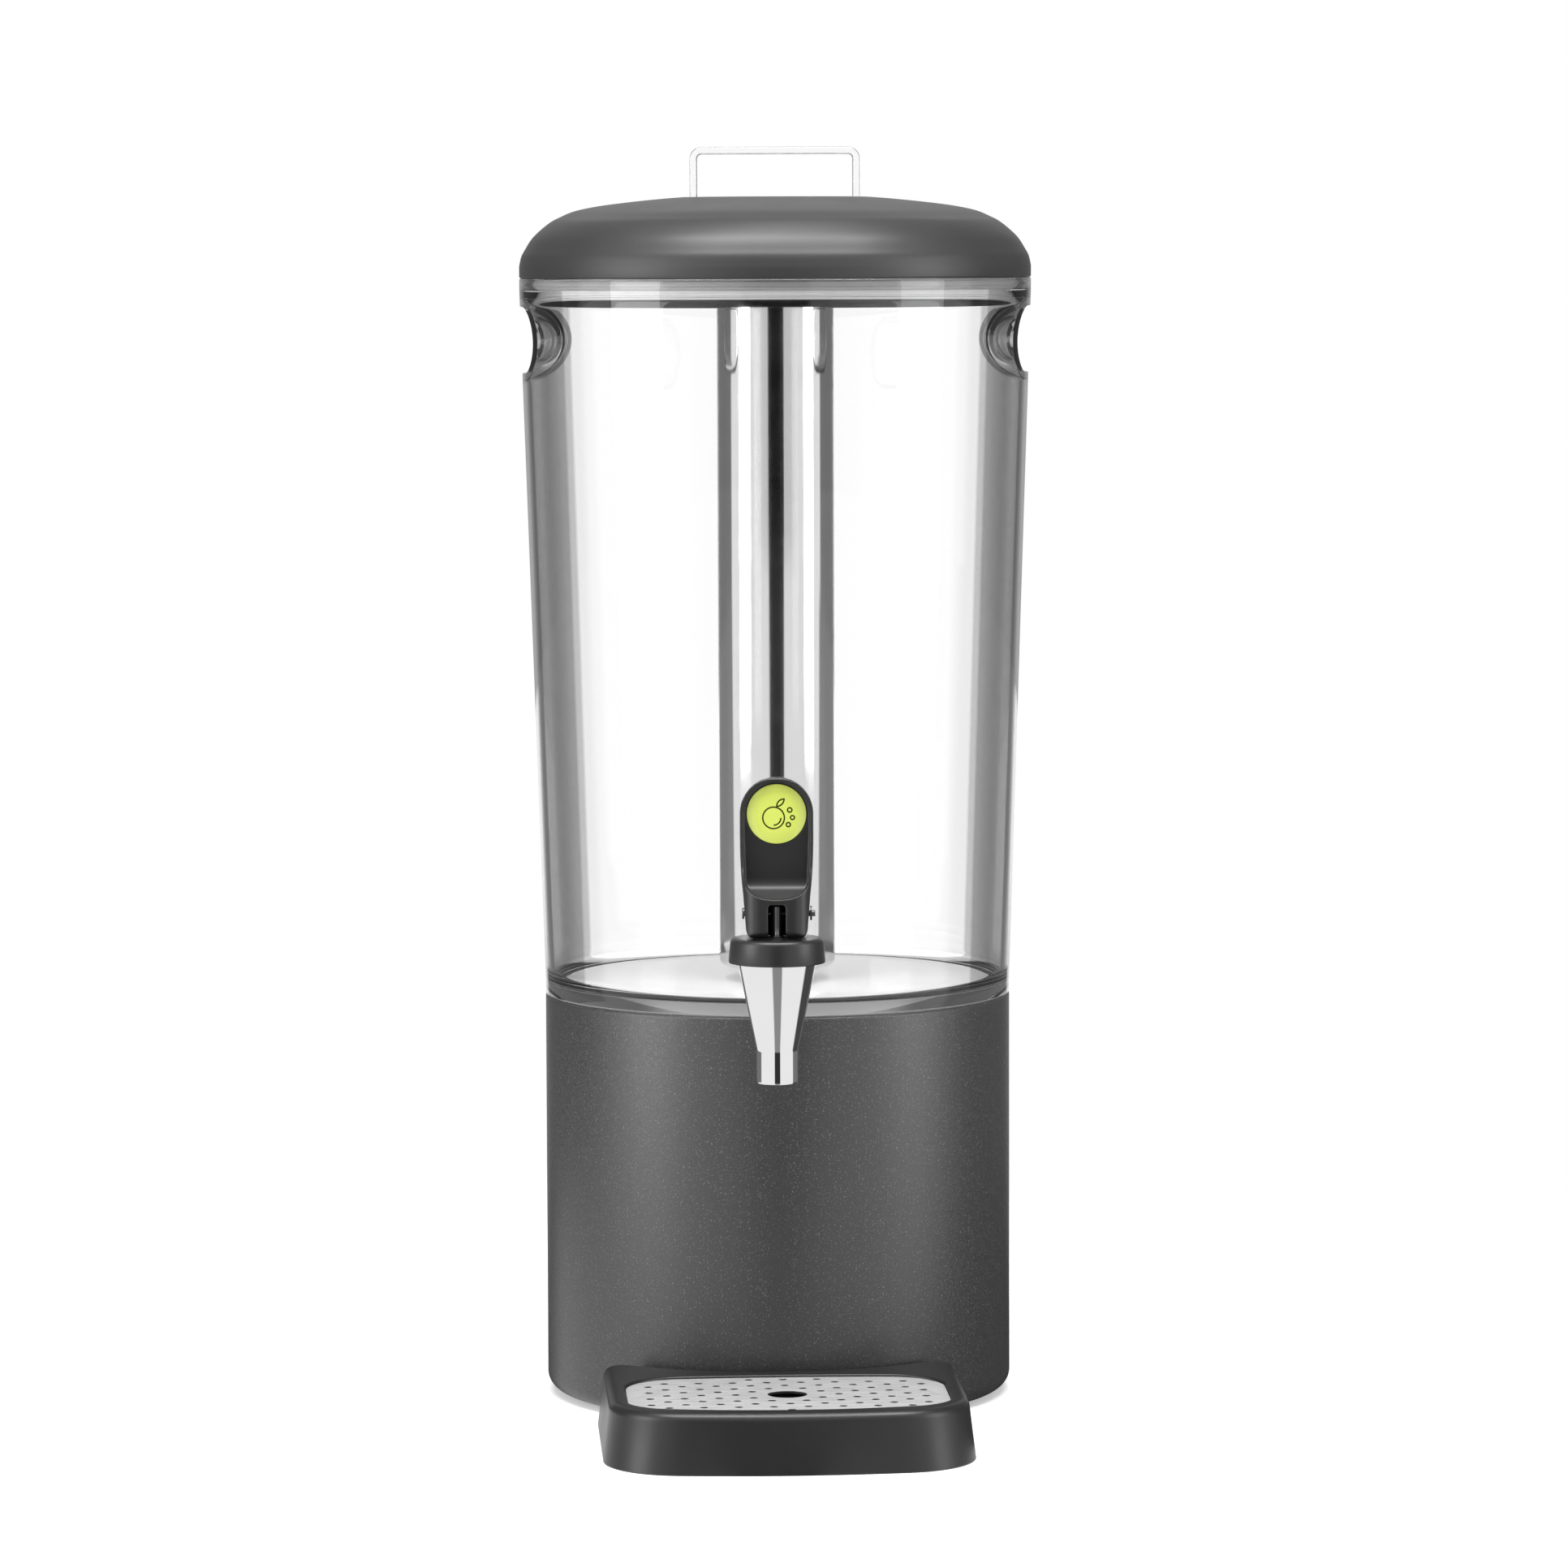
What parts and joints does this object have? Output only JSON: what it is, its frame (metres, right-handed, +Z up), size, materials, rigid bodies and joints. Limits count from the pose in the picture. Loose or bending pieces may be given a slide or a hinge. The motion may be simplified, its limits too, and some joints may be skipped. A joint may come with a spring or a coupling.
{
  "type": "juice dispenser",
  "caption": "Cold drink dispenser: clear tapered container on a round metal base, domed lid with handle, ice tube inside, lever tap in front and a drip tray below.",
  "frame": {"origin": "on the dispenser's upright axis, at the underside of the base pad, where it stands on the table", "axes": "+Z up along the container's axis; -Y points from the axis to the tap, the drip tray and the person serving; +X to that person's right"},
  "size_m": [0.219, 0.3181, 0.5356],
  "materials": {
    "black_plastic": "satin moulded black plastic",
    "powder_coat": "dark grey powder coat with fine sparkle",
    "clear_plastic": "clear glossy polycarbonate",
    "chrome": "bright chrome plating",
    "polished_steel": "polished stainless steel",
    "satin_steel": "satin stainless steel",
    "silicone": "translucent grey silicone",
    "black_rubber": "matt black rubber",
    "lime_badge": "glossy lime green disc with a plain drawing"
  },
  "bodies": {
    "base": {"base_shell": "powder_coat", "base_pad": "black_rubber"},
    "container": {"container": "clear_plastic", "tap_gasket_front": "silicone", "tap_gasket_rear": "silicone", "tap_nut": "black_plastic", "tap_body": "chrome", "tap_bonnet": "black_plastic", "bonnet_gasket": "silicone", "valve_spring": "satin_steel"},
    "valve": {"valve_stem": "chrome", "valve_seat_cup": "silicone"},
    "tap_lever": {"lever": "black_plastic", "lever_badge": "lime_badge", "lever_pin": "chrome", "pin_clip": "satin_steel"},
    "lid": {"lid_shell": "black_plastic", "lid_seal": "silicone", "lid_handle": "clear_plastic", "handle_screw_left": "satin_steel", "handle_screw_right": "satin_steel", "handle_nut_left": "satin_steel", "handle_nut_right": "satin_steel", "ice_tube": "polished_steel", "tube_collar": "black_plastic", "tube_gasket": "silicone"},
    "tray": {"tray_body": "black_plastic"},
    "grille": {"tray_grille": "satin_steel"}
  },
  "joints": [
    {"name": "container_lift", "type": "slide", "parent": "base", "child": "container", "axis": [0, 0, 1], "range_m": [0, 0.12]},
    {"name": "lid_lift", "type": "slide", "parent": "container", "child": "lid", "axis": [0, 0, 1], "range_m": [0, 0.31]},
    {"name": "valve_lift", "type": "slide", "parent": "container", "child": "valve", "axis": [0, 0, 1], "range_m": [0, 0.004], "stiffness_N_per_m": 400, "springref_m": -0.005, "deforming": ["valve_spring"]},
    {"name": "lever_tilt", "type": "hinge", "parent": "valve", "child": "tap_lever", "pos_m": [0, -0.15, 0.2218], "axis": [1, 0, 0], "range_deg": [0, 35]},
    {"name": "tray_slide", "type": "slide", "parent": "base", "child": "tray", "axis": [0.0541, -0.9985, 0], "range_m": [0, 0.12]},
    {"name": "grille_lift", "type": "slide", "parent": "tray", "child": "grille", "axis": [0, 0, 1], "range_m": [0, 0.03]}
  ],
  "couplings": [
    {"joint": "lever_tilt", "follows": "valve_lift", "rad_per_m": 152.2}
  ]
}
